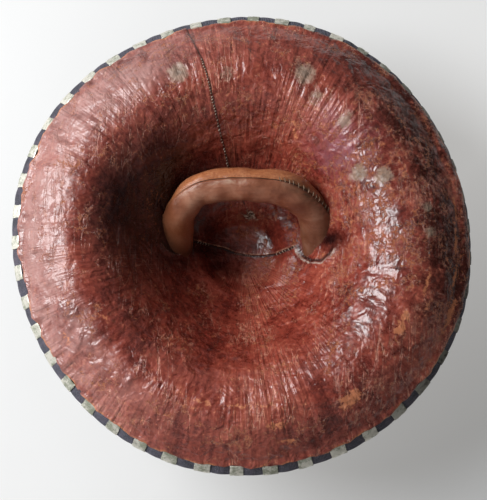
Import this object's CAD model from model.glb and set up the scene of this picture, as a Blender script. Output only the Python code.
import math

import bpy
import numpy as np
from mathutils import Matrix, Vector, noise


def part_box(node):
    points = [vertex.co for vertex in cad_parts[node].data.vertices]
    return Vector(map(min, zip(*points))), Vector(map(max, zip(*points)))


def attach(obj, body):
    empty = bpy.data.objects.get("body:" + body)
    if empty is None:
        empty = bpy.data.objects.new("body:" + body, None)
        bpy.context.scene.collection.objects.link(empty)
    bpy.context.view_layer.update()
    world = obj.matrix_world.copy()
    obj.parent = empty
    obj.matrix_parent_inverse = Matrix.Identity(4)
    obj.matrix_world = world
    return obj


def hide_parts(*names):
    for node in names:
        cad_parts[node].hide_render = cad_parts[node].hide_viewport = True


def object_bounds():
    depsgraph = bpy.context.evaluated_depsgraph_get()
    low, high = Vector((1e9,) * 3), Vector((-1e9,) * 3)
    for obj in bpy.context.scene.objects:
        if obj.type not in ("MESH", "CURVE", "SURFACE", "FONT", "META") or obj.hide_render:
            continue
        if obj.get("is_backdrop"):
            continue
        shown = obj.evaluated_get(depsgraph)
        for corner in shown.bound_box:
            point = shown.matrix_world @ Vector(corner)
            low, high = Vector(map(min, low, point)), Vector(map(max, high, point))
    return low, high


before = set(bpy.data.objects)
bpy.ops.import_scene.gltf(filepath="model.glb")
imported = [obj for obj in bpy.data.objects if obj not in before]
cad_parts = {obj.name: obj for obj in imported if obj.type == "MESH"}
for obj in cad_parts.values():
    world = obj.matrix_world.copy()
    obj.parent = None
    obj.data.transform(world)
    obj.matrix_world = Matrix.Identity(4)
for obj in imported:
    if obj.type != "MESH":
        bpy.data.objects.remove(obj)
cad_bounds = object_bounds()

# ---------------------------------------------------------------------------
# The hide: one sheet of thick raw hide, pressed wet over a form and dried hard.
# It is the core that everything else is laid on, and hardly shows once it is covered.
# ---------------------------------------------------------------------------
RADIUS = 0.256
GAP = 0.0003
HIDE = 0.005
LINING = 0.0014
CLOTH = 0.0018
METAL = 0.0008
CREST_RADIUS = 0.184
TURNS = 45


def smooth(low, high, value):
    share = np.clip((value - low) / (high - low), 0, 1)
    return share * share * (3 - 2 * share)


def bezier(a, b, c, d, count):
    t = np.linspace(0, 1, count)[:, None]
    a, b, c, d = (np.array(p, float) for p in (a, b, c, d))
    return a * (1 - t) ** 3 + 3 * b * t * (1 - t) ** 2 + 3 * c * t * t * (1 - t) + d * t ** 3


def sloped(point, slope, on):
    angle = math.radians(slope)
    return (point[0] + on * math.cos(angle), point[1] + on * math.sin(angle))


NECK = (0.060, 0.046)
RIM = (RADIUS - CLOTH - GAP, 0.121)
CREST = (CREST_RADIUS, 0.163)
FLOOR = CLOTH + GAP + HIDE
section = np.vstack([
    np.array([[0, FLOOR], [0.013, FLOOR]]),
    bezier((0.026, FLOOR), (0.042, FLOOR), sloped(NECK, 30, -0.020), NECK, 160)[:-1],
    bezier(NECK, sloped(NECK, 30, 0.040), (0.132, 0.163), CREST, 300)[:-1],
    bezier(CREST, (0.212, 0.163), sloped(RIM, -45, -0.028), RIM, 240),
])
lengths = np.concatenate([[0], np.cumsum(np.hypot(*np.diff(section, axis=0).T))])
WHOLE = lengths[-1]
slopes = np.gradient(section, lengths, axis=0)
slopes[0] = (1, 0)
slopes /= np.hypot(*slopes.T)[:, None]


def at_length(length, out, on=0.0):
    """Radius and height of points raised off the back of the hide, by their way along it."""
    r, z = (np.interp(length, lengths, section[:, i]) for i in (0, 1))
    tr, tz = (np.interp(length, lengths, slopes[:, i]) for i in (0, 1))
    return np.where(length <= 0, 0, r - tz * out + tr * on), z + tr * out + tz * on


def length_at(radius):
    return float(np.interp(radius, section[:, 0], lengths))


def crowded(turn):
    """The angle on the shield for an even turn: the clips stand closer at one side."""
    return turn + np.radians(
        42.7 + 3.5 * np.cos(turn + math.radians(20)) + 1.3 * np.cos(2 * (turn + math.radians(36)))
    )


def unevenness(angle):
    waves = sum(
        height * np.cos(lobes * (angle - math.radians(start)))
        for lobes, height, start in ((2, 0.0023, 115), (3, 0.0017, 52), (4, 0.0016, 66))
    )
    return 1 + waves / RADIUS


def sag(angle, radius):
    """The dish dried a little out of true, more so away from the boss."""
    waves = (
        0.0011 * np.sin(2 * angle + 0.7 + 9 * radius)
        + 0.0008 * np.sin(3 * angle - 1.1 + 17 * radius)
        + 0.0006 * np.sin(5 * angle + 2.0 - 26 * radius)
        + 0.0004 * np.sin(9 * angle + 1.0 + 40 * radius)
    )
    return waves * smooth(0.07, 0.16, radius)


corners = crowded(np.radians(8.0) * np.arange(TURNS))
reach = RIM[0] * unevenness(corners)
low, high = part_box("hide_body")
SHIFT = np.array([
    (low.x + high.x) / 2 - (reach * np.cos(corners)).min() / 2 - (reach * np.cos(corners)).max() / 2,
    (low.y + high.y) / 2 - (reach * np.sin(corners)).min() / 2 - (reach * np.sin(corners)).max() / 2,
])


def placed(turn, radius, height):
    """Points in the row frame from an even turn, a radius and a height."""
    angle = crowded(turn)
    reach = radius * unevenness(angle)
    return np.stack([
        reach * np.cos(angle) + SHIFT[0],
        reach * np.sin(angle) + SHIFT[1],
        height + sag(angle, radius),
    ], axis=-1)


def wrapped(name, places):
    """A grid laid over rows of points, and the row and column of each of its corners."""
    rows, columns = places.shape[:2]
    if bpy.context.object and bpy.context.object.mode != "OBJECT":
        bpy.ops.object.mode_set(mode="OBJECT")
    bpy.ops.object.select_all(action="DESELECT")
    bpy.ops.mesh.primitive_grid_add(x_subdivisions=columns - 1, y_subdivisions=rows - 1, size=1)
    piece = bpy.context.object
    piece.name = piece.data.name = name
    mesh = piece.data
    flat = np.zeros(len(mesh.vertices) * 3, np.float32)
    mesh.vertices.foreach_get("co", flat)
    flat = flat.reshape(-1, 3)
    column = np.rint((flat[:, 0] + 0.5) * (columns - 1)).astype(int)
    row = np.rint((flat[:, 1] + 0.5) * (rows - 1)).astype(int)
    mesh.vertices.foreach_set("co", places[row, column].astype(np.float32).ravel())
    return piece, row, column


def closed(piece, merge=1e-6):
    """Merges what meets in a skin and turns its faces outwards."""
    bpy.context.view_layer.objects.active = piece
    piece.select_set(True)
    bpy.ops.object.mode_set(mode="EDIT")
    bpy.ops.mesh.select_all(action="SELECT")
    bpy.ops.mesh.remove_doubles(threshold=merge)
    bpy.ops.mesh.dissolve_degenerate(threshold=merge / 10)
    bpy.ops.mesh.normals_make_consistent(inside=False)
    bpy.ops.object.mode_set(mode="OBJECT")
    bpy.ops.object.shade_smooth()


def note(piece, name, values):
    """A value for every corner of a piece, for its material to read."""
    held = piece.data.attributes.new(name, "FLOAT", "POINT")
    held.data.foreach_set("value", np.asarray(values, np.float32).ravel())


class Paint:
    """One material and short calls for the nodes that it is mixed from."""

    def __init__(self, name, **surface):
        self.material = bpy.data.materials.new(name)
        self.material.use_nodes = True
        self.tree = self.material.node_tree
        self.shader = self.tree.nodes["Principled BSDF"]
        for socket, value in surface.items():
            self.set(socket.replace("_", " "), value)

    def put(self, socket, value):
        if isinstance(value, bpy.types.NodeSocket):
            self.tree.links.new(value, socket)
        elif isinstance(value, (tuple, list)) and len(value) == 3 and socket.type == "RGBA":
            socket.default_value = (*value, 1)
        else:
            socket.default_value = value

    def set(self, socket, value):
        self.put(self.shader.inputs[socket], value)

    def node(self, kind, inputs, output=0, **settings):
        made = self.tree.nodes.new("ShaderNode" + kind)
        for key, value in settings.items():
            setattr(made, key, value)
        for key, value in inputs.items():
            self.put(made.inputs[key], value)
        return made.outputs[output]

    def place(self):
        return self.node("TexCoord", {}, "Object")

    def known(self, name):
        return self.node("Attribute", {}, "Fac", attribute_name=name)

    def math(self, operation, a, b=0.0, clamp=False):
        return self.node("Math", {0: a, 1: b}, operation=operation, use_clamp=clamp)

    def times(self, a, b, clamp=False):
        return self.math("MULTIPLY", a, b, clamp=clamp)

    def plus(self, a, b, clamp=False):
        return self.math("ADD", a, b, clamp=clamp)

    def noise(self, where, scale, detail=4.0, roughness=0.55, distortion=0.0):
        return self.node("TexNoise", {
            "Vector": where, "Scale": scale, "Detail": detail,
            "Roughness": roughness, "Distortion": distortion,
        })

    def span(self, value, low, high, start=0.0, end=1.0):
        return self.node("MapRange", {
            "Value": value, "From Min": low, "From Max": high, "To Min": start, "To Max": end,
        })

    def stretched(self, where, scale, turn=(0, 0, 0)):
        return self.node("Mapping", {"Vector": where, "Scale": scale, "Rotation": turn})

    def mix(self, share, a, b, blend="MIX"):
        return self.node("Mix", {0: share, 6: a, 7: b}, 2, data_type="RGBA", blend_type=blend)

    def ramp(self, value, *stops):
        made = self.tree.nodes.new("ShaderNodeValToRGB")
        bands = made.color_ramp.elements
        while len(bands) < len(stops):
            bands.new(1.0)
        for band, (position, colour) in zip(bands, stops):
            band.position = position
            band.color = (*colour, 1)
        self.tree.links.new(value, made.inputs[0])
        return made.outputs[0]

    def relief(self, *layers):
        """Bumps one over another: (height, depth in metres)."""
        normal = None
        for height, depth in layers:
            inputs = {"Height": height, "Distance": depth, "Strength": 1.0}
            if normal:
                inputs["Normal"] = normal
            normal = self.node("Bump", inputs)
        self.set("Normal", normal)


turns = np.linspace(0, 2 * math.pi, 181)
ways = np.concatenate([np.linspace(0, WHOLE, 60), np.linspace(WHOLE, 0, 60)])
outs = np.concatenate([np.full(60, -HIDE), np.zeros(60)])
radius, height = at_length(ways, outs)
hide, _, _ = wrapped("hide", placed(turns[None, :], radius[:, None], height[:, None]))
closed(hide)
paint = Paint("raw_hide", Roughness=0.8)
place = paint.place()
grain = paint.noise(place, 60.0, 8.0, 0.65)
paint.set("Base Color", paint.ramp(grain, (0.3, (0.10, 0.055, 0.03)), (0.7, (0.30, 0.19, 0.11))))
paint.relief((paint.noise(place, 420.0, 4.0), 0.0004))
hide.data.materials.append(paint.material)
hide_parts("hide_body")
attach(hide, "root")

# ---------------------------------------------------------------------------
# The cloth cover: dark velvet laid over the whole front of the hide, its hem
# turned over the rim onto the back, where it puffs up between the clips.
# ---------------------------------------------------------------------------
HEM = RADIUS - 0.012


def round_rim(low, high, bulge, count):
    """Points past the edge of the hide, from one layer round to another."""
    turn = np.linspace(-math.pi / 2, math.pi / 2, count)
    return (low + high) / 2 + (high - low) / 2 * np.sin(turn), bulge * np.cos(turn)


front = np.linspace(0, WHOLE, 64)
front_rows = len(front)
inner, outer = GAP, GAP + CLOTH
rim_outs, rim_ons = round_rim(-HIDE - outer, outer, outer, 13)
fold_outs, fold_ons = round_rim(outer, inner, -0.0009, 5)
tight_outs, tight_ons = round_rim(inner, -HIDE - inner, inner, 9)
hem = np.linspace(WHOLE, length_at(HEM), 8)
ways = np.concatenate([
    front, np.full(13, WHOLE), hem[1:], np.full(3, hem[-1]), hem[::-1][1:],
    np.full(9, WHOLE), front[::-1][1:],
])
outs = np.concatenate([
    np.full(front_rows, -HIDE - outer), rim_outs, np.full(7, outer), fold_outs[1:-1],
    np.full(7, inner), tight_outs, np.full(front_rows - 1, -HIDE - inner),
])
ons = np.concatenate([
    np.zeros(front_rows), rim_ons, np.zeros(7), fold_ons[1:-1], np.zeros(7), tight_ons,
    np.zeros(front_rows - 1),
])
on_hem = np.concatenate([
    np.zeros(front_rows), np.sin(np.linspace(0, math.pi / 2, 13)) ** 2, np.full(7, 1.0),
    np.full(3, 0.5), np.zeros(7), np.zeros(9), np.zeros(front_rows - 1),
])
turns = np.linspace(0, 2 * math.pi, 541)
puff = (
    0.0005 + 0.0006 * np.cos(turns * TURNS)
    + 0.0002 * np.sin(turns * 17 + 1) + 0.00015 * np.sin(turns * 71)
)
radius, height = at_length(
    ways[:, None] + 0 * turns, outs[:, None] + on_hem[:, None] * puff, ons[:, None] + 0 * turns
)
cover, _, _ = wrapped("cloth_cover_visual", placed(turns[None, :], radius, height))
closed(cover)
paint = Paint("dark_velvet", Roughness=0.9, Sheen_Weight=0.35, Sheen_Roughness=0.4)
place = paint.place()
patches = paint.noise(place, 75.0, 7.0, 0.7)
colour = paint.ramp(
    patches,
    (0.32, (0.012, 0.011, 0.016)),
    (0.46, (0.030, 0.028, 0.042)),
    (0.58, (0.062, 0.052, 0.074)),
    (0.70, (0.110, 0.075, 0.085)),
)
rib = paint.node("TexWave", {
    "Vector": place, "Scale": 260.0, "Distortion": 2.5, "Detail": 2.0,
}, bands_direction="DIAGONAL")
thread = paint.node("TexVoronoi", {"Vector": place, "Scale": 900.0}, "Distance")
lit = paint.times(paint.times(thread, rib), 0.7)
colour = paint.mix(lit, colour, (0.15, 0.14, 0.16))
paint.set("Base Color", colour)
paint.set("Sheen Tint", (0.45, 0.47, 0.6))
paint.relief((paint.noise(place, 130.0, 3.0), 0.0006), (rib, 0.0004), (thread, 0.0005))
cover.data.materials.append(paint.material)
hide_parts("cloth_cover")
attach(cover, "root")

# ---------------------------------------------------------------------------
# The lining: red-brown goatskin, glued and pressed over the whole back, puckered
# towards the rim, closed by one radial seam and a slit sewn up across the boss.
# ---------------------------------------------------------------------------


def from_line(x, y, line):
    """How far points are to the left of a line in millimetres, and how far along it."""
    best = np.full(x.shape, 9e3)
    along = np.zeros(x.shape)
    start = 0.0
    for (ax, ay), (bx, by) in zip(line, line[1:]):
        ex, ey = bx - ax, by - ay
        length = math.hypot(ex, ey)
        share = np.clip(((x - ax) * ex + (y - ay) * ey) / length ** 2, 0, 1)
        dx, dy = x - ax - share * ex, y - ay - share * ey
        away = np.hypot(dx, dy)
        nearer = away < np.abs(best)
        best = np.where(nearer, np.where(ex * dy - ey * dx >= 0, away, -away), best)
        along = np.where(nearer, start + share * length, along)
        start += length
    return best, along


# lines and spots on the lining are in millimetres from the middle of the shield
SEAM = [
    (-62, 236), (-52, 211), (-44, 194), (-38, 173), (-34, 156), (-30, 140), (-26, 124),
    (-21, 108), (-17, 93), (2, 55),
]
SLIT = [
    (-74, 12), (-59, 11), (-38, 9), (-21, 6), (-8, 1), (11, -2), (28, -3), (43, -2), (55, 1),
    (63, 4),
]
RIGHT_COLLAR = [(62, 6), (65, -4), (70, -12), (79, -19), (92, -22), (102, -15), (107, -4)]
LEFT_COLLAR = [(-62, 12), (-64, 2), (-70, -5), (-80, -9), (-90, -4), (-97, 6)]
AROUND = 600
turns = np.linspace(0, 2 * math.pi, AROUND + 1)
rings, edge_rings, under_rings = 118, 5, 36
angle = crowded(turns)
degrees_on = np.degrees(angle) % 360
# how nearly each place round the rim is at the right and at the left
right = np.exp(-(((degrees_on + 180 - 12) % 360 - 180) / 42) ** 4)
left = np.exp(-(((degrees_on - 172 + 180) % 360 - 180) / 62) ** 4)
scallop = (
    0.0005 * np.cos(turns * TURNS) + 0.0006 * np.sin(turns * 23 + 2)
    + 0.0005 * np.sin(turns * 61 + 0.5) + 0.0003 * np.sin(turns * 133)
)
edge_radius = HEM + 0.0006 + scallop * (1 - 0.6 * right) + 0.0054 * right
edge_way = np.interp(edge_radius, section[:, 0], lengths)
share = np.linspace(0, 1, rings) ** 0.93
ways = share[:, None] * edge_way[None, :]
flat_r, _ = at_length(ways, np.zeros_like(ways))
reach = flat_r * unevenness(angle)
x = reach * np.cos(angle) * 1e3
y = reach * np.sin(angle) * 1e3
r = flat_r * 1e3


def bump(x, y, cx, cy, long, wide, turn=0.0, power=2.0):
    """One soft swelling, its long way at an angle in degrees."""
    c, s = math.cos(math.radians(turn)), math.sin(math.radians(turn))
    u = ((x - cx) * c + (y - cy) * s) / long
    v = (-(x - cx) * s + (y - cy) * c) / wide
    return np.exp(-(np.hypot(u, v) ** power))


def grain(a, b, octaves=3, seed=0.0):
    """Smooth random heights at points, about -1 to 1."""
    found = [
        noise.fractal(Vector((float(p), float(q), seed)), 1.0, 2.0, octaves)
        for p, q in zip(a.ravel(), b.ravel())
    ]
    return np.array(found).reshape(a.shape)


off_seam, on_seam = from_line(x, y, SEAM)
off_slit, on_slit = from_line(x, y, SLIT)
rise = np.zeros_like(x)
# the seam: its left lip laps over the right one, most of all near the rim
proud = 0.6 + 1.2 * smooth(110, 20, on_seam)
seam_here = smooth(205, 190, on_seam)
lip = smooth(-1.0, 1.0, -off_seam)
rise += seam_here * proud * (
    lip * np.exp(np.minimum(off_seam, 0) / 8)
    - 0.5 * (1 - lip) * np.exp(-np.maximum(off_seam, 0) / 3)
)
# the slit: the far side is a domed flap that laps over the near side
slit_here = smooth(-1, 10, on_slit) * smooth(141, 134, on_slit)
lip = smooth(-0.9, 0.9, off_slit)
rise += slit_here * (
    1.9 * lip * np.exp(-np.maximum(off_slit, 0) / 14)
    - 0.4 * (1 - lip) * np.exp(np.minimum(off_slit, 0) / 4)
)
rise += 1.6 * bump(x, y, 10, 20, 26, 20) * lip
# the leather bridges the corner round the flat end of the boss
base_z = np.interp(r, section[:, 0] * 1e3, section[:, 1] * 1e3) - FLOOR * 1e3
bridge = (x ** 2 + np.where(y > 0, 0.35, 1.0) * y ** 2) / 108 - base_z
bridge = 0.5 * (bridge + np.sqrt(bridge ** 2 + 1.5)) * smooth(70, 46, r)
# dents and creases inside the bowl
for cx, cy, long, wide, turn, depth in (
    (77, -52, 11, 2.4, 52, 1.5), (38, -70, 11, 2.6, 20, 1.3), (63, -97, 12, 2.6, 30, 1.2),
    (81, -102, 12, 2.4, 42, 1.3), (111, -86, 14, 2.8, 50, 1.3), (51, -124, 12, 2.6, 22, 0.9),
    (122, -62, 13, 2.8, 62, 1.1), (-60, -60, 22, 5, -45, -0.9), (95, 40, 18, 5, 115, -0.8),
    (70, 95, 26, 6, 140, -0.8), (-96, 60, 24, 6, 60, -0.8), (128, 20, 26, 5, 80, 0.9),
    (140, -20, 22, 4, 88, 0.8), (100, -120, 20, 5, 38, 0.9), (-20, -150, 30, 7, -8, 0.8),
):
    rise += depth * bump(x, y, cx, cy, long, wide, turn)
# wrinkles from the right foot down and outwards
for lean in (-22, -33, -45, -60):
    a = math.radians(lean)
    rise += 0.8 * bump(x, y, 74 + 36 * math.cos(a), -8 + 36 * math.sin(a), 24, 2.4, lean)
# puckers up the outer slope, one to a clip, deepest at the left
wander = grain(x / 26, y / 26, 2, 8.1)
slope_here = smooth(192, 226, r)
pucker = np.cos(turns * TURNS + 2.6 * wander) + 0.5 * np.cos(turns * TURNS * 0.5 + 3 * wander)
patchy = 0.6 + 0.6 * grain(x / 40, y / 40, 2, 1.7)
rise += slope_here * (0.30 + 1.1 * left)[None, :] * pucker * patchy
lumps = grain(x / 10, y / 10, 2, 6.6)
rise += 1.5 * smooth(186, 204, r) * (0.25 + 0.75 * left)[None, :] * lumps
# short creases round the bowl and pulls up the crest
around = np.degrees(angle)[None, :] + 0 * r
rise += 0.9 * smooth(60, 80, r) * smooth(170, 140, r) * grain(around / 9, r / 7, 2, 4.4)
rise += 0.7 * smooth(120, 160, r) * grain(around / 2.6, r / 34, 3, 2.2)
# collars where the handle comes through
collar = np.zeros_like(x)
pit = np.zeros_like(x)
for line, light in ((RIGHT_COLLAR, 1.0), (LEFT_COLLAR, 0.55)):
    off, on = from_line(x, y, line)
    inwards = off if line is RIGHT_COLLAR else -off
    within = smooth(0, 6, on) * smooth(0, 6, on.max() - on)
    rise += within * 2.2 * np.exp(-((inwards + 1.5) / 2.6) ** 2)
    collar = np.maximum(collar, within * light * np.exp(-((inwards + 1.0) / 1.5) ** 2))
    pit = np.maximum(pit, within * np.exp(-((inwards - 2.5) / 2.2) ** 2))
# general unevenness of the skin
rise += 1.1 * grain(x / 24, y / 24, 5, 3.3) * (0.35 + 0.65 * smooth(10, 60, r))
# no dent goes down to the hide
DEEPEST = 1.2
rise = 0.5 * (rise - DEEPEST + np.sqrt((rise + DEEPEST) ** 2 + 0.4))
for heights in (rise, bridge):
    heights[:, -1] = heights[:, 0]
    heights[0] = heights[0].mean()

over_hem = smooth(HEM - 0.004, HEM + 0.0006, flat_r) * (CLOTH + 0.0004)
over_clip = smooth(HEM - 0.002, HEM + 0.002, flat_r) * right[None, :] * (METAL + 0.0006)
top = GAP + LINING + rise * 1e-3 + over_hem + over_clip
radius, height = at_length(ways, top)
height += bridge * 1e-3
edge_turn = np.linspace(0, math.pi / 2, edge_rings + 2)[1:-1]
edge_way_rows = edge_way[None, :] + LINING * 0.7 * np.sin(edge_turn)[:, None]
edge_top = top[-1][None, :] - LINING * (1 - np.cos(edge_turn))[:, None]
edge_r, edge_z = at_length(edge_way_rows, edge_top)
beneath = np.linspace(1, 0, under_rings)
under_r, under_z = at_length(
    beneath[:, None] * edge_way[None, :], np.full((under_rings, AROUND + 1), -0.0012)
)
radius = np.vstack([radius, edge_r, under_r])
height = np.vstack([height, edge_z, under_z])
lining, row, column = wrapped("lining", placed(turns[None, :], radius, height))


def onto(values, rest=0.0):
    """Values given for the top rings, for every corner of the piece."""
    full = np.full(radius.shape, float(rest))
    full[:rings] = values
    full[rings:rings + edge_rings] = values[-1]
    return full[row, column]


stain = np.zeros_like(x)
for cx, cy, size, weight in (
    (-70, 179, 12, 1.0), (70, 177, 12, 1.0), (81, 152, 9, 0.6), (128, 69, 10, 0.95),
    (112, 125, 8, 0.9), (154, 63, 10, 0.95), (200, 29, 7, 0.7), (202, 1, 7, 0.7),
    (-16, 178, 10, 0.55), (117, 132, 7, 0.5), (60, 190, 7, 0.4), (150, -70, 8, 0.3),
):
    stain = np.maximum(stain, weight * bump(x, y, cx, cy, size, size, 0, 3.0))
worn = np.zeros_like(x)
for cx, cy, long, wide, turn, weight in (
    (167, -104, 9, 6, 60, 1.0), (114, -176, 17, 7, 35, 1.0), (172, -91, 6, 5, 60, 0.8),
    (34, -204, 14, 5, 10, 0.8), (50, -220, 12, 4, 12, 0.8), (195, -82, 10, 4, 65, 0.7),
    (196, -56, 16, 3, 75, 0.7), (232, -5, 20, 2.2, 88, 0.9), (230, -45, 22, 2.4, 80, 0.9),
    (224, -85, 22, 3, 70, 0.9), (234, 28, 16, 2, 97, 0.7), (-3, -185, 60, 3.5, 0, 0.55),
    (-40, -180, 30, 3, -12, 0.5),
    (150, 100, 16, 5, 120, 0.45), (175, 60, 14, 5, 110, 0.5), (60, 120, 16, 3, 100, 0.5),
    (-150, -90, 14, 5, 130, 0.4), (-190, -110, 10, 5, 120, 0.5), (120, 20, 10, 4, 60, 0.5),
):
    worn = np.maximum(worn, weight * bump(x, y, cx, cy, long, wide, turn))
greasy = np.zeros_like(x)
for cx, cy, long, wide, turn, weight in (
    (-48, 2, 36, 20, -8, 1.0), (-40, 22, 24, 18, 60, 0.9), (-28, -18, 32, 16, -15, 0.9),
    (101, 3, 13, 19, 70, 1.15), (-74, -16, 22, 12, 0, 0.8), (-135, 20, 28, 60, 0, 0.55),
    (-85, 100, 34, 26, 45, 0.6),
    (-20, 92, 30, 20, 0, 0.55), (-60, 60, 40, 30, 30, 0.7), (22, 108, 14, 10, 0, 0.5),
):
    greasy = np.maximum(greasy, weight * bump(x, y, cx, cy, long, wide, turn))
faded = left[None, :] * smooth(178, 212, r) + 0.45 * bump(x, y, -120, 165, 60, 26, 50)
dull = bump(x, y, 52, 12, 15, 26, 0, 4.0)
note(lining, "greasy", onto(greasy))
note(lining, "dull", onto(dull))
note(lining, "faded", onto(np.clip(faded, 0, 1)))
note(lining, "off_seam", onto(np.clip(off_seam, -60, 60), 60))
note(lining, "on_seam", onto(on_seam))
note(lining, "off_slit", onto(np.clip(off_slit, -60, 60), 60))
note(lining, "on_slit", onto(on_slit))
note(lining, "stain", onto(stain))
note(lining, "worn", onto(worn))
note(lining, "collar", onto(collar))
note(lining, "pit", onto(pit))
note(lining, "out", onto(r, 0))
note(lining, "edge", onto((edge_way[None, :] - ways) * 1e3, 0))
note(lining, "right", onto(np.repeat(right[None, :], rings, 0)))
closed(lining)

paint = Paint("red_leather_worn")
place = paint.place()
out = paint.known("out")
right_side = paint.known("right")


def vector(operation, a, b=None):
    return paint.node("VectorMath", {0: a} if b is None else {0: a, 1: b}, operation=operation)


heading = vector("NORMALIZE", vector("MULTIPLY", place, (1, 1, 0)))
streaks = paint.noise(
    vector("ADD", vector("MULTIPLY", heading, (60, 60, 60)), vector("MULTIPLY", place, (9, 9, 9))),
    1.0, 6.0, 0.7,
)
large = paint.noise(place, 9.0, 5.0, 0.6)
middle = paint.noise(place, 42.0, 8.0, 0.70, 0.5)
speckle = paint.noise(place, 190.0, 6.0, 0.75)
fine = paint.noise(place, 480.0, 5.0, 0.75)


def line_of(value, centre, width):
    """1 along the contour of a value, falling to 0 beside it."""
    off = paint.math("ABSOLUTE", paint.math("SUBTRACT", value, centre))
    return paint.span(off, width, width * 0.3)


tone = paint.plus(paint.times(large, 0.36), paint.times(middle, 0.36))
tone = paint.plus(tone, paint.times(speckle, 0.28))
colour = paint.ramp(
    tone,
    (0.37, (0.040, 0.005, 0.004)),
    (0.44, (0.125, 0.016, 0.010)),
    (0.51, (0.255, 0.042, 0.025)),
    (0.58, (0.380, 0.085, 0.052)),
    (0.67, (0.520, 0.185, 0.120)),
)
colour = paint.mix(paint.span(streaks, 0.46, 0.66, 0.0, 0.30), colour, (0.085, 0.012, 0.010))
rubbed = paint.times(paint.span(streaks, 0.45, 0.30), paint.span(out, 110, 160), clamp=True)
colour = paint.mix(paint.times(rubbed, 0.38), colour, (0.44, 0.12, 0.075))
# small chips where the red has come off, and dark pores
chips = paint.plus(speckle, paint.times(paint.math("SUBTRACT", large, 0.5), 0.30))
colour = paint.mix(paint.span(chips, 0.60, 0.66, 0.0, 0.75), colour, (0.55, 0.19, 0.105))
colour = paint.mix(paint.span(fine, 0.40, 0.28, 0.0, 0.7), colour, (0.030, 0.006, 0.005))
# a bloom of purple on the upper right of the bowl
bloom = paint.node("VectorMath", {0: place, 1: (0.108, 0.105, 0.150)}, "Value", operation="DISTANCE")
bloom = paint.times(paint.span(bloom, 0.055, 0.015), paint.span(middle, 0.40, 0.60))
colour = paint.mix(paint.times(bloom, 0.55), colour, (0.20, 0.075, 0.125))
# scratches, long and fine, most of them at the lower left
scratched = None
for turn, scale in ((0.9, (60, 6, 20)), (-0.5, (50, 7, 20)), (2.1, (80, 9, 20))):
    lines = paint.noise(paint.stretched(place, scale, (0, 0, turn)), 1.0, 2.0, 0.5)
    lines = line_of(lines, 0.5, 0.010)
    scratched = lines if scratched is None else paint.math("MAXIMUM", scratched, lines)
scratched = paint.times(scratched, paint.span(paint.noise(place, 17.0, 4.0), 0.47, 0.56))
scratched = paint.times(scratched, paint.span(speckle, 0.42, 0.56))
colour = paint.mix(paint.times(scratched, 0.75), colour, (0.55, 0.23, 0.15))
# the left wall of the bowl is darkened by the hand, and the hollows by grease
hand = paint.node("VectorMath", {0: place, 1: (-0.105, 0.035, 0.110)}, "Value", operation="DISTANCE")
hand = paint.times(paint.span(hand, 0.105, 0.045), paint.span(tone, 0.62, 0.48, 0.6, 0.9))
colour = paint.mix(hand, colour, (0.022, 0.0032, 0.0030))
greasy = paint.times(paint.known("greasy"), paint.span(tone, 0.60, 0.46, 0.75, 1.0))
colour = paint.mix(paint.times(greasy, 0.93), colour, (0.014, 0.0028, 0.0026))
# the left outer slope is faded by the light
faded = paint.times(paint.known("faded"), paint.span(middle, 0.36, 0.60, 0.25, 0.85))
colour = paint.mix(faded, colour, (0.37, 0.195, 0.175))
# the right outer slope is blackened
dark = paint.times(right_side, paint.span(out, 190, 210), clamp=True)
dark = paint.times(dark, paint.span(tone, 0.56, 0.47, 0.0, 0.92))
colour = paint.mix(dark, colour, (0.042, 0.009, 0.006))
# crackle, orange where the grain has broken
shake = paint.node(
    "TexNoise", {"Vector": place, "Scale": 75.0, "Detail": 8.0, "Roughness": 0.75}, "Color"
)
shaken = vector("ADD", place, vector("MULTIPLY", shake, (0.022, 0.022, 0.022)))
cells = paint.node(
    "TexVoronoi", {"Vector": shaken, "Scale": 105.0}, "Distance", feature="DISTANCE_TO_EDGE"
)
crack_place = paint.plus(paint.noise(place, 30.0, 6.0, 0.7), paint.times(right_side, 0.10))
cracks = paint.times(paint.span(cells, 0.09, 0.03), paint.span(crack_place, 0.54, 0.60))
cracks = paint.times(cracks, paint.span(speckle, 0.40, 0.55))
cracks = paint.times(cracks, paint.span(greasy, 0.45, 0.15))
colour = paint.mix(paint.times(cracks, 0.8), colour, (0.52, 0.16, 0.06))
# abraded patches
worn_here = paint.plus(paint.known("worn"), paint.times(paint.math("SUBTRACT", speckle, 0.5), 2.2))
worn_here = paint.plus(worn_here, paint.times(paint.math("SUBTRACT", middle, 0.5), 1.4))
worn_here = paint.span(worn_here, 0.42, 0.60)
colour = paint.mix(paint.times(worn_here, 0.85), colour, (0.56, 0.19, 0.080))
# grey-green spots where something has spilt, dark in their middle
spot = paint.known("stain")
stained = paint.plus(spot, paint.times(paint.math("SUBTRACT", speckle, 0.5), 2.4))
stained = paint.times(paint.span(stained, 0.25, 0.75), paint.span(spot, 0.05, 0.4))
colour = paint.mix(paint.times(stained, 0.62), colour, (0.33, 0.26, 0.19))
colour = paint.mix(paint.times(paint.span(spot, 0.90, 1.0), 0.55), colour, (0.10, 0.07, 0.05))
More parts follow.
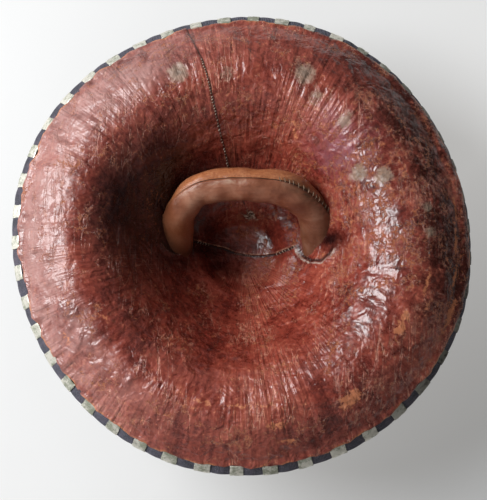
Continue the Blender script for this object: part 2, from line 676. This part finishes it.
# the lips of the seams, and the gaps between them
off_seam_value = paint.known("off_seam")
seam_range = paint.span(paint.known("on_seam"), 205, 195)
seam_dark = paint.times(line_of(off_seam_value, 0.7, 1.3), seam_range)
seam_dark = paint.times(seam_dark, paint.span(speckle, 0.35, 0.6, 0.4, 0.9))
colour = paint.mix(seam_dark, colour, (0.010, 0.004, 0.003))
off_slit_value = paint.known("off_slit")
on_slit_value = paint.known("on_slit")
slit_range = paint.times(paint.span(on_slit_value, 2, 8), paint.span(on_slit_value, 142, 136))
slit_dark = paint.times(line_of(off_slit_value, -1.2, 1.7), slit_range)
colour = paint.mix(paint.times(slit_dark, 0.9), colour, (0.008, 0.003, 0.003))
slit_light = paint.times(line_of(off_slit_value, 1.0, 1.1), slit_range)
slit_light = paint.times(slit_light, paint.span(speckle, 0.45, 0.60, 0.1, 0.8))
colour = paint.mix(slit_light, colour, (0.50, 0.30, 0.20))
# cut edges round the handle and at the rim
colour = paint.mix(paint.times(paint.known("pit"), 0.92), colour, (0.006, 0.003, 0.003))
ring = paint.times(paint.known("collar"), paint.span(speckle, 0.40, 0.60, 0.45, 1.0))
colour = paint.mix(paint.span(ring, 0.25, 0.75, 0.0, 0.8), colour, (0.40, 0.33, 0.28))
cut = paint.times(paint.span(paint.known("edge"), 2.2, 0.5), paint.span(middle, 0.46, 0.56))
colour = paint.mix(paint.times(cut, 0.8), colour, (0.50, 0.18, 0.075))
paint.set("Base Color", colour)
rough = paint.span(tone, 0.40, 0.62, 0.22, 0.40)
rough = paint.plus(rough, paint.times(worn_here, 0.25))
rough = paint.plus(rough, paint.times(faded, 0.10))
rough = paint.plus(rough, paint.times(paint.known("dull"), 0.12))
rough = paint.plus(rough, paint.times(stained, 0.22), clamp=True)
paint.set("Roughness", rough)
matt = paint.math("MAXIMUM", paint.math("MAXIMUM", greasy, dark), paint.known("dull"))
paint.set("Specular IOR Level", paint.math("SUBTRACT", 0.75, paint.times(matt, 0.60)))
pulled = paint.noise(
    vector("ADD", vector("MULTIPLY", heading, (34, 34, 34)), vector("MULTIPLY", place, (14, 14, 14))),
    1.0, 2.0, 0.5,
)
dented = paint.noise(place, 70.0, 2.0, 0.5, 0.8)
paint.relief(
    (paint.times(pulled, paint.span(paint.noise(place, 8.0, 2.0), 0.42, 0.62)), 0.0026),
    (dented, 0.0028),
    (paint.times(paint.plus(cracks, scratched), -1.0), 0.0004),
    (paint.noise(place, 230.0, 2.0, 0.5), 0.00035),
)
lining.data.materials.append(paint.material)
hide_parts("red_lining")
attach(lining, "root")

# ---------------------------------------------------------------------------
# The handle: a thick roll of tan leather, its one lip lapped over the other along
# the outside of the arch and oversewn, its ends pushed down through the lining.
# ---------------------------------------------------------------------------
START = np.array([0.004, -0.009, 0.040])
YAW, LEAN = math.radians(-2.5), math.radians(43)
SWAY, HALF_SPAN, ARCH = -0.001, 0.0825, 0.106
SQUARENESS = 3.1
ROLL = (0.0185, 0.018)
TURN_X = np.array([math.cos(YAW), math.sin(YAW), 0])
TURN_Y = np.array([-math.sin(YAW), math.cos(YAW), 0])
LEANING = math.sin(LEAN) * TURN_Y + math.cos(LEAN) * np.array([0, 0, 1])
FACING = np.cross(TURN_X, LEANING)


def arch_line(share):
    """Points along the middle of the handle."""
    turn = math.pi * (1 - share)
    across = np.sign(np.cos(turn)) * np.abs(np.cos(turn)) ** (2 / SQUARENESS)
    rise = np.abs(np.sin(turn)) ** (2 / SQUARENESS)
    return (
        (HALF_SPAN * across + SWAY * rise)[:, None] * TURN_X
        + (ARCH * rise)[:, None] * LEANING + START
    )


fine_share = np.linspace(0.0005, 0.9995, 4000)
fine_points = arch_line(fine_share)
fine_length = np.concatenate([[0], np.cumsum(np.linalg.norm(np.diff(fine_points, axis=0), axis=1))])
ARCH_LENGTH = fine_length[-1]


def arch_at(way):
    """Points along the middle of the handle, by the share of its length."""
    length = way * ARCH_LENGTH
    return np.stack([np.interp(length, fine_length, fine_points[:, i]) for i in range(3)], -1)


def arch_frame(way, step=0.012):
    """Middle, outward direction and run of the handle, by the share of its length."""
    points = arch_at(way)
    tangent = arch_at(np.clip(way + step, 0, 1)) - arch_at(np.clip(way - step, 0, 1))
    tangent /= np.linalg.norm(tangent, axis=1)[:, None]
    outward = np.cross(FACING, tangent)
    outward *= np.sign((outward @ LEANING).sum())
    return points, outward / np.linalg.norm(outward, axis=1)[:, None], tangent


def lap_angle(way):
    """Where the lap lies round the roll: on its face at the top, at its edge down the legs."""
    return np.radians(32 - 26 * smooth(0.17, 0.38, np.abs(way - 0.5)))


def roll_radius(way, turn):
    """Half thickness of the roll: it tightens in a spiral that ends at the lap."""
    wound = ((turn - lap_angle(way)) / (2 * math.pi)) % 1
    spiral = 0.0011 - 0.0024 * wound
    groove = -0.0026 * np.exp(-(np.minimum(wound, 1 - wound) * 2 * math.pi / 0.085) ** 2)
    lumps = (
        0.0006 * np.sin(way * 23 + 2 * turn) + 0.0005 * np.sin(way * 41 - turn + 1)
        + 0.0004 * np.sin(way * 67 + 3 * turn + 2) + 0.0008 * np.sin(way * 11 + 0.5)
    )
    middle = 0.0011 * np.exp(-((way - 0.5) / 0.22) ** 4)
    foot = 0.0045 * np.exp(-((way - 0.87) / 0.07) ** 2) * np.clip(np.cos(turn), 0, 1)
    return spiral + groove + lumps + middle + foot


BENDS = 220
ways = np.linspace(0, 1, BENDS + 1)
cuts = 97
turn = np.linspace(0, 2 * math.pi, cuts)[None, :] + lap_angle(ways)[:, None]
centres, outward, _ = arch_frame(ways)
grow = roll_radius(ways[:, None], turn)
places = (
    centres[:, None, :]
    + ((ROLL[0] + grow) * np.cos(turn))[:, :, None] * outward[:, None, :]
    + ((ROLL[1] + grow) * np.sin(turn))[:, :, None] * FACING
)
ends = [centres[:1, None, :] + 0 * places[:1], centres[-1:, None, :] + 0 * places[:1]]
places = np.concatenate([ends[0], places, ends[1]])
# the ends are pared off where they meet the hide, under the lining
round_turn = np.arctan2(places[..., 1], places[..., 0])
round_radius = np.hypot(places[..., 0], places[..., 1]) / unevenness(round_turn)
bed = np.interp(round_radius, section[:, 0], section[:, 1]) + sag(round_turn, round_radius) + GAP
places[..., 2] = np.maximum(places[..., 2], bed)
places = places + np.array([*SHIFT, 0])
handle, row, column = wrapped("handle_visual", places)
wound = column / (cuts - 1)
lap = np.minimum(wound, 1 - wound) * 2 * math.pi * ROLL[0] * 1e3
note(handle, "lap", np.where(wound < 0.5, lap, -lap))
note(handle, "way", np.clip((row - 1) / BENDS, 0, 1))
closed(handle)
paint = Paint("tan_leather_handled")
place = paint.place()
way_value = paint.known("way")
lap_value = paint.known("lap")
middle = paint.noise(place, 38.0, 5.0, 0.55, 0.4)
fine = paint.noise(place, 320.0, 5.0, 0.7)
strands = paint.noise(paint.stretched(place, (60, 320, 320)), 1.0, 6.0, 0.65)
colour = paint.ramp(
    middle,
    (0.34, (0.170, 0.052, 0.026)),
    (0.48, (0.270, 0.095, 0.050)),
    (0.60, (0.350, 0.150, 0.090)),
    (0.72, (0.430, 0.215, 0.140)),
)
colour = paint.mix(paint.span(strands, 0.48, 0.72, 0.0, 0.4), colour, (0.13, 0.036, 0.018))
colour = paint.mix(paint.span(fine, 0.60, 0.75, 0.0, 0.35), colour, (0.50, 0.26, 0.15))
near_lap = paint.math("ABSOLUTE", lap_value)
above = paint.times(paint.span(lap_value, 0.0, -2.0), paint.span(lap_value, -26.0, -16.0))
colour = paint.mix(paint.times(above, 0.75), colour, paint.ramp(
    fine, (0.35, (0.30, 0.085, 0.030)), (0.60, (0.50, 0.19, 0.075)), (0.75, (0.58, 0.30, 0.16))
))
glint = paint.times(line_of(lap_value, 4.5, 4.0), paint.span(middle, 0.45, 0.60))
glint = paint.times(glint, line_of(way_value, 0.45, 0.22))
colour = paint.mix(paint.times(glint, 0.6), colour, (0.55, 0.42, 0.32))
colour = paint.mix(paint.times(paint.span(way_value, 0.30, 0.16), 0.6), colour, (0.28, 0.085, 0.032))
colour = paint.mix(paint.times(paint.span(way_value, 0.14, 0.03), 0.8), colour, (0.035, 0.012, 0.006))
dirty = paint.times(paint.span(way_value, 0.58, 0.68), paint.span(near_lap, 16.0, 3.0))
dirty = paint.times(dirty, paint.span(strands, 0.62, 0.40, 0.2, 1.0))
colour = paint.mix(paint.times(dirty, 0.85), colour, (0.030, 0.024, 0.012))
colour = paint.mix(paint.times(paint.span(way_value, 0.66, 0.84), 0.62), colour, (0.085, 0.030, 0.013))
gape = paint.plus(paint.times(strands, 1.6), 0.2)
open_gap = paint.times(paint.span(paint.math("DIVIDE", near_lap, gape), 1.3, 0.6), 1.0, clamp=True)
colour = paint.mix(open_gap, colour, (0.005, 0.003, 0.002))
paint.set("Base Color", colour)
paint.set("Roughness", paint.span(middle, 0.35, 0.7, 0.28, 0.44))
paint.relief((middle, 0.0012), (strands, 0.0005), (fine, 0.0003))
handle.data.materials.append(paint.material)
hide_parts("handle")
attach(handle, "root")

# ---------------------------------------------------------------------------
# The thong knot: a narrow thong pulled through the wall of the boss behind the
# handle and knotted flat against the lining, its frayed ends left standing.
# ---------------------------------------------------------------------------


def tube(name, line, thick, sides=8):
    """A closed round strand along a line of points, thinner at its ends."""
    line = np.asarray(line, float)
    tangent = np.gradient(line, axis=0)
    tangent /= np.linalg.norm(tangent, axis=1)[:, None]
    first = np.cross(tangent, (0.31, 0.22, 0.93))
    first /= np.linalg.norm(first, axis=1)[:, None]
    second = np.cross(tangent, first)
    turn = np.linspace(0, 2 * math.pi, sides + 1)
    thick = np.broadcast_to(thick, len(line)).copy()
    skin = (
        line[:, None, :]
        + (thick[:, None] * np.cos(turn))[:, :, None] * first[:, None, :]
        + (thick[:, None] * np.sin(turn))[:, :, None] * second[:, None, :]
    )
    skin = np.concatenate([line[:1, None, :] + 0 * skin[:1], skin, line[-1:, None, :] + 0 * skin[:1]])
    piece, _, _ = wrapped(name, skin)
    closed(piece)
    return piece


def together(name, parts):
    bpy.ops.object.select_all(action="DESELECT")
    for part in parts:
        part.select_set(True)
    bpy.context.view_layer.objects.active = parts[0]
    if len(parts) > 1:
        bpy.ops.object.join()
    whole = bpy.context.object
    whole.name = whole.data.name = name
    return whole


def on_back(x, y, lift=0.0):
    """A point on the back of the lining from millimetres across, and the way out of it there."""
    angle = math.atan2(y, x)
    radius = math.hypot(x, y) * 1e-3 / unevenness(angle)
    way = np.interp(radius, section[:, 0], lengths)
    slope = [float(np.interp(way, lengths, slopes[:, i])) for i in (0, 1)]
    r, z = at_length(np.array([way]), GAP + LINING + lift)
    away = np.array([-slope[1] * math.cos(angle), -slope[1] * math.sin(angle), slope[0]])
    spot = np.array([
        float(r[0]) * unevenness(angle) * math.cos(angle) + SHIFT[0],
        float(r[0]) * unevenness(angle) * math.sin(angle) + SHIFT[1],
        float(z[0]) + float(sag(angle, r[0])),
    ])
    return spot, away


KNOT_RADIUS, KNOT_ANGLE = 47, math.radians(78)
middle, away = on_back(
    KNOT_RADIUS * math.cos(KNOT_ANGLE), KNOT_RADIUS * math.sin(KNOT_ANGLE), 0.0015
)
side = np.cross(away, (0, 0, 1))
side /= np.linalg.norm(side)
down = np.cross(away, side)
t = np.linspace(0, 2 * math.pi, 73)
trefoil = np.stack([
    np.sin(t) + 2 * np.sin(2 * t), 0.8 * (np.cos(t) - 2 * np.cos(2 * t)), -0.8 * np.sin(3 * t)
], -1)
loop = middle + 0.0024 * (trefoil @ np.stack([side, down, away]))
strands = [tube("knot_loop", loop, 0.0015)]
rng = np.random.default_rng(5)
for k in range(9):
    out_angle = rng.uniform(0, 2 * math.pi)
    long = rng.uniform(0.008, 0.016)
    bend = rng.uniform(-0.6, 0.6)
    s = np.linspace(0, 1, 8)
    heading = out_angle + bend * s
    run = (np.cos(heading)[:, None] * side + np.sin(heading)[:, None] * down) * (s * long)[:, None]
    lift = 0.001 + 0.009 * s * (1 - s)
    line = middle + run + away * lift[:, None]
    strands.append(tube("knot_end", line, 0.0008 * (1.1 - s), 6))
knot = together("thong_knot_visual", strands)
paint = Paint("thong", Roughness=0.6)
place = paint.place()
mottle = paint.noise(place, 420.0, 5.0, 0.7)
paint.set("Base Color", paint.ramp(
    mottle, (0.35, (0.035, 0.018, 0.012)), (0.48, (0.20, 0.10, 0.065)), (0.60, (0.62, 0.48, 0.38))
))
paint.relief((mottle, 0.0004))
knot.data.materials.append(paint.material)
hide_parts("thong_knot")
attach(knot, "root")

# ---------------------------------------------------------------------------
# The stitching: short whipped stitches of pale sinew down the radial seam, finer
# ones across the slit, and thick ones over the lap at the right of the handle.
# ---------------------------------------------------------------------------


def stitch(start, end, away, thick, arch):
    s = np.linspace(0, 1, 7)[:, None]
    hump = np.sin(s * math.pi)
    line = start * (1 - s) + end * s + away * (hump * arch - 0.0006 * (1 - hump))
    return tube("stitch", line, thick * np.sin(0.35 + 2.44 * s[:, 0]), 6)


def along_line(line, way):
    line = np.array(line, float)
    run = np.concatenate([[0], np.cumsum(np.linalg.norm(np.diff(line, axis=0), axis=1))])
    spot = np.array([np.interp(way, run, line[:, i]) for i in (0, 1)])
    on = np.array([np.interp(min(way + 1, run[-1]), run, line[:, i]) for i in (0, 1)])
    back = np.array([np.interp(max(way - 1, 0), run, line[:, i]) for i in (0, 1)])
    return spot, (on - back) / np.linalg.norm(on - back)


rng = np.random.default_rng(11)
stitches = []
way = 46.0
while way < 172:
    spot, on = along_line(SEAM, way)
    across = np.array([-on[1], on[0]])
    centre = spot + across * rng.uniform(-0.3, 0.3)
    a, b = centre - across * 1.5 + on * 0.5, centre + across * 1.3 - on * 0.5
    (start, away), (end, _) = on_back(*a), on_back(*b)
    stitches.append(stitch(start, end, away, 0.00055, 0.0009))
    way += rng.uniform(2.4, 3.4)
way = 20.0
while way < 150:
    spot, on = along_line(SLIT, way)
    across = np.array([-on[1], on[0]])
    lean = rng.uniform(-0.3, 0.3)
    long = 2.4 if way < 118 else 3.2
    a, b = spot - across * long + on * lean, spot + across * 1.2 - on * lean
    (start, away), (end, _) = on_back(*a), on_back(*b)
    stitches.append(stitch(start, end, away, 0.0003 if way < 118 else 0.00055, 0.0012))
    way += rng.uniform(2.2, 3.0) if way < 118 else rng.uniform(2.8, 3.6)
sewing = together("seam_stitches", stitches)
stitches = []
share = 0.60
while share < 0.90:
    centres, outward, tangent = arch_frame(np.array([share]))
    centre, out_way, on = centres[0], outward[0], tangent[0]
    ends = []
    lap_at = float(lap_angle(share))
    out_by = 0.0006 + roll_radius(share, lap_at + 0.3)
    for turn in (lap_at - 0.16, lap_at + 0.13):
        outwards = (ROLL[0] + out_by) * math.cos(turn) * out_way
        ends.append(centre + outwards + (ROLL[1] + out_by) * math.sin(turn) * FACING)
    away = math.cos(lap_at) * out_way + math.sin(lap_at) * FACING
    slant = on * rng.uniform(0.0006, 0.0016)
    shift = np.array([*SHIFT, 0])
    stitches.append(stitch(ends[0] + shift - slant, ends[1] + shift + slant, away, 0.0006, 0.0008))
    share += rng.uniform(0.011, 0.017)
lacing = together("handle_stitches", stitches)
paint = Paint("sinew", Roughness=0.6)
mottle = paint.noise(paint.place(), 300.0, 3.0, 0.6)
paint.set("Base Color", paint.ramp(mottle, (0.35, (0.16, 0.10, 0.065)), (0.6, (0.62, 0.52, 0.42))))
paint.relief((mottle, 0.0002))
dark = Paint("sinew_dirty", Roughness=0.6)
mottle = dark.noise(dark.place(), 300.0, 3.0, 0.6)
dark.set("Base Color", dark.ramp(mottle, (0.35, (0.05, 0.03, 0.02)), (0.65, (0.30, 0.20, 0.13))))
dark.relief((mottle, 0.0002))
sewing.data.materials.append(paint.material)
lacing.data.materials.append(dark.material)
for piece in (sewing, lacing):
    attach(piece, "root")

# ---------------------------------------------------------------------------
# The rim clips: strips of silvered sheet brass folded over the rim to grip the
# cloth, cut by hand, dented and gone green; one piece of metal each.
# ---------------------------------------------------------------------------
CLIP_SHARE = 0.43
CLIP_BACK = 0.0115
CLIP_FRONT = 0.016
STEPS_ACROSS = np.array([-1.0, -1.0, -0.93, -0.5, 0.0, 0.5, 0.93, 1.0, 1.0])
END_CAPS = np.abs(np.arange(-4, 5))[:, None] == 4
under = GAP + CLOTH + GAP
over = under + METAL

paint = Paint("silvered_brass")
place = paint.place()
mottle = paint.noise(place, 130.0, 7.0, 0.7)
broad = paint.noise(place, 12.0, 3.0, 0.5)
green = paint.span(paint.plus(mottle, paint.times(broad, 0.6)), 0.74, 0.90)
colour = paint.mix(green, (0.80, 0.77, 0.68), (0.27, 0.28, 0.21))
to_right = paint.span(paint.node("SeparateXYZ", {0: place}, "X"), 0.12, 0.21)
tarnish = paint.times(to_right, paint.span(mottle, 0.62, 0.4, 0.6, 1.0))
colour = paint.mix(tarnish, colour, (0.035, 0.028, 0.022))
paint.set("Base Color", colour)
paint.set("Metallic", paint.math("SUBTRACT", 0.85, paint.times(green, 0.6)))
paint.set("Roughness", paint.span(mottle, 0.3, 0.7, 0.28, 0.55))
paint.relief((mottle, 0.0004))


def strip_skin(level, back_way, front_way):
    """One skin of a strip from its front leg round the rim to its back leg: way, out, on."""
    bend_outs, bend_ons = round_rim(-HIDE - level, level, level, 9)
    leg_front = np.linspace(front_way, WHOLE, 7)
    leg_back = np.linspace(back_way, WHOLE, 7)
    return np.stack([
        np.concatenate([leg_front, np.full(7, WHOLE), leg_back[::-1]]),
        np.concatenate([np.full(7, -HIDE - level), bend_outs[1:-1], np.full(7, level)]),
        np.concatenate([np.zeros(7), bend_ons[1:-1], np.zeros(7)]),
    ])


rng = np.random.default_rng(3)
for k in range(TURNS):
    middle_turn = math.radians(8 * (k + 0.5)) + rng.normal(0, 0.0015)
    half = math.radians(4 * CLIP_SHARE) * rng.uniform(0.92, 1.12)
    back_way = length_at(RADIUS - CLIP_BACK) + rng.normal(0, 0.0005)
    front_way = length_at(RADIUS - CLIP_FRONT) + rng.normal(0, 0.0008)
    outer_skin = strip_skin(over, back_way, front_way)
    inner_skin = strip_skin(under, back_way, front_way)[:, ::-1]
    loop = np.hstack([outer_skin, inner_skin])
    core = (loop + loop[:, ::-1]) / 2
    loop = np.hstack([loop, loop[:, :1]])
    core = np.hstack([core, core[:, :1]])
    dents = rng.normal(0, 0.00022, (len(STEPS_ACROSS), loop.shape[1]))
    dents[:, -1] = dents[:, 0]
    edges = 0.025 * rng.normal(0, 1, loop.shape[1])
    edges[-1] = edges[0]
    turn = middle_turn + half * STEPS_ACROSS[:, None] * (1 + edges)
    crown = 0.0003 * (1 - STEPS_ACROSS[:, None] ** 2)
    off_hide = loop[1] + HIDE / 2
    dented = loop[1] + crown * np.sign(off_hide) + dents * (np.abs(off_hide) > HIDE / 2)
    way, out, on = (
        np.where(END_CAPS, cap, skin) for cap, skin in zip(core, (loop[0], dented, loop[2]))
    )
    radius, height = at_length(way, out, on)
    clip, _, _ = wrapped(f"clip_{k + 1:02d}", placed(turn, radius, height))
    closed(clip)
    clip.data.materials.append(paint.material)
    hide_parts(f"rim_clip_{k + 1:02d}")
    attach(clip, "root")

# ---------------------------------------------------------------------------
# The table, the light and the camera: a pale sheet, lit a little from below, under a
# large soft window to the left in a room that is darker to the right, seen from above.
# ---------------------------------------------------------------------------
bpy.ops.mesh.primitive_plane_add(size=12, location=(0, 0, -0.0005))
table = bpy.context.object
table.name = "table"
paint = Paint("pale_paper", Roughness=0.9)
mottle = paint.noise(paint.place(), 3.0, 3.0)
paint.set("Base Color", paint.ramp(mottle, (0.3, (0.42, 0.425, 0.43)), (0.7, (0.45, 0.455, 0.46))))
across = paint.node("SeparateXYZ", {0: paint.place()}, "X")
along = across.node.outputs["Y"]
corner = paint.math("SUBTRACT", paint.times(across, 0.7), paint.times(along, 0.7))
paint.set("Emission Color", (1.0, 0.985, 0.96))
paint.set("Emission Strength", paint.span(corner, 0.12, 0.42, 0.40, 0.16))
table.data.materials.append(paint.material)
table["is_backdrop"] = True

window_spot = Vector((-1.62, 0.45, 1.38))
bpy.ops.object.light_add(type="AREA", location=window_spot)
lamp = bpy.context.object
lamp.name = "window"
lamp.data.shape = "RECTANGLE"
lamp.data.size, lamp.data.size_y = 1.35, 1.1
lamp.data.energy = 60
lamp.data.color = (0.96, 0.98, 1.0)
lamp.rotation_euler = (Vector((0, 0, 0.1)) - window_spot).to_track_quat("-Z", "Y").to_euler()
world = bpy.data.worlds.new("room")
bpy.context.scene.world = world
world.use_nodes = True
air = world.node_tree
sky = air.nodes["Background"]
facing = air.nodes.new("ShaderNodeTexCoord")
ways_round = air.nodes.new("ShaderNodeSeparateXYZ")
air.links.new(facing.outputs["Generated"], ways_round.inputs[0])
upward = air.nodes.new("ShaderNodeValToRGB")
bands = upward.color_ramp.elements
bands.new(0.45)
bands.new(0.75)
for band, (position, light) in zip(bands, ((0.05, 0.06), (0.45, 0.50), (0.75, 0.42), (0.97, 0.16))):
    band.position = position
    band.color = (light, light, light, 1)
air.links.new(ways_round.outputs["Z"], upward.inputs[0])
sideways = air.nodes.new("ShaderNodeMapRange")
sideways.inputs["From Min"].default_value = -0.9
sideways.inputs["From Max"].default_value = 0.9
sideways.inputs["To Min"].default_value = 1.5
sideways.inputs["To Max"].default_value = 0.22
air.links.new(ways_round.outputs["X"], sideways.inputs["Value"])
both = air.nodes.new("ShaderNodeMath")
both.operation = "MULTIPLY"
air.links.new(upward.outputs[0], both.inputs[0])
air.links.new(sideways.outputs[0], both.inputs[1])
air.links.new(both.outputs[0], sky.inputs["Strength"])
sky.inputs["Color"].default_value = (1.0, 0.99, 0.96, 1)

tilt = math.radians(9)
target = Vector((SHIFT[0], SHIFT[1], 0.121))
eye = target + 1.3 * Vector((0, -math.sin(tilt), math.cos(tilt)))
bpy.ops.object.camera_add(location=eye)
camera = bpy.context.object
camera.data.lens = 84.1
camera.data.sensor_width = 36
camera.data.clip_start, camera.data.clip_end = 0.05, 20
aim = target + Vector((0.0009, -0.012, 0))
camera.rotation_euler = (aim - eye).to_track_quat("-Z", "Y").to_euler()
bpy.context.scene.camera = camera
bpy.context.scene.view_settings.view_transform = "Standard"

size = {"cad": [list(v) for v in cad_bounds], "shown": [list(v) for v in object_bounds()]}
